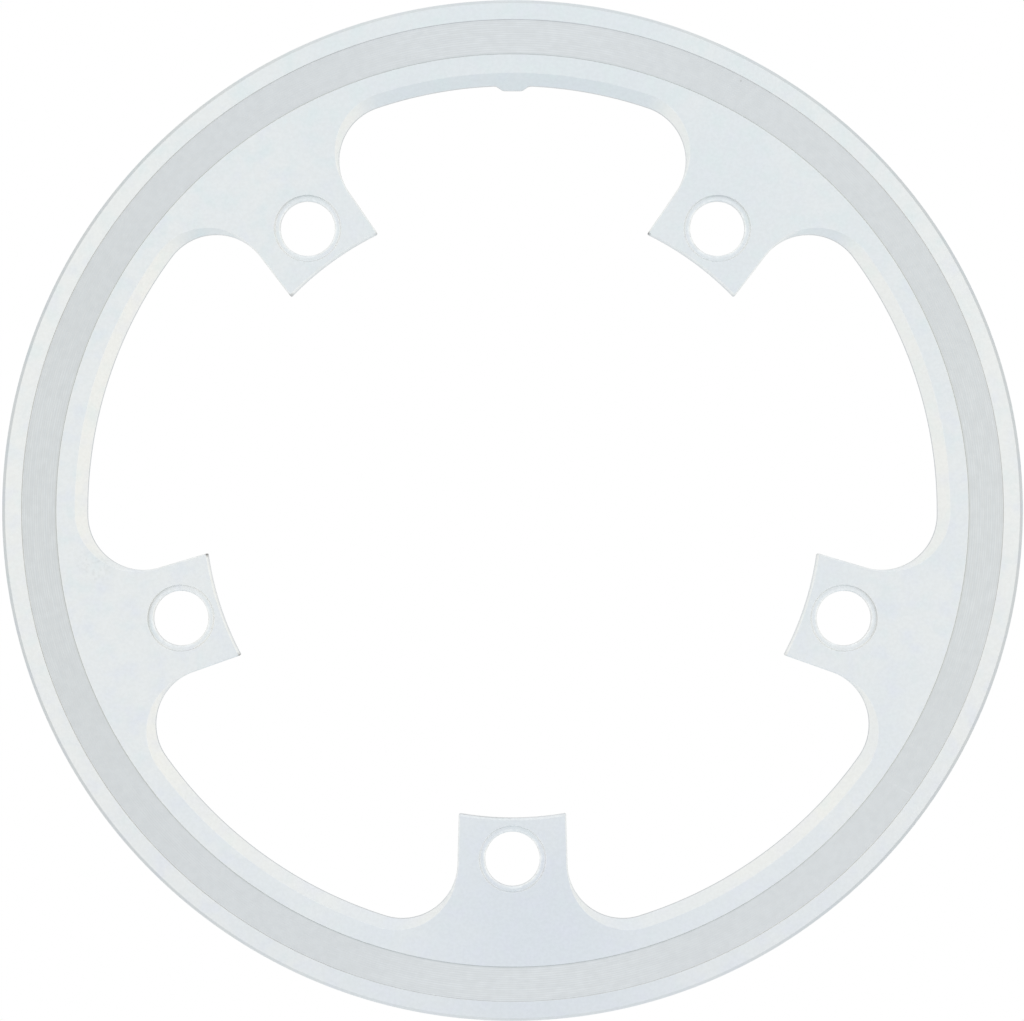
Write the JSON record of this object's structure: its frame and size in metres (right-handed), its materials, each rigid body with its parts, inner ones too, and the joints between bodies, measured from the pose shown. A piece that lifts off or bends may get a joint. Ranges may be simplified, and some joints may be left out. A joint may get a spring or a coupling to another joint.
{
  "type": "bicycle chain guard",
  "caption": "Flat round chain guard ring in silver anodised aluminium, with inward bolt tabs between bevelled windows, a turned groove near the rim and a small locating key.",
  "frame": {"origin": "centre of the ring on its flat back face", "axes": "+Z out of the front face along the crank axis, +Y towards the locating key, +X to the right in the front view"},
  "size_m": [0.1904, 0.1904, 0.004],
  "materials": {
    "anodised_aluminium": "satin silver anodised, with a turned groove"
  },
  "bodies": {
    "root": {"chain_guard_ring": "anodised_aluminium"}
  },
  "joints": []
}
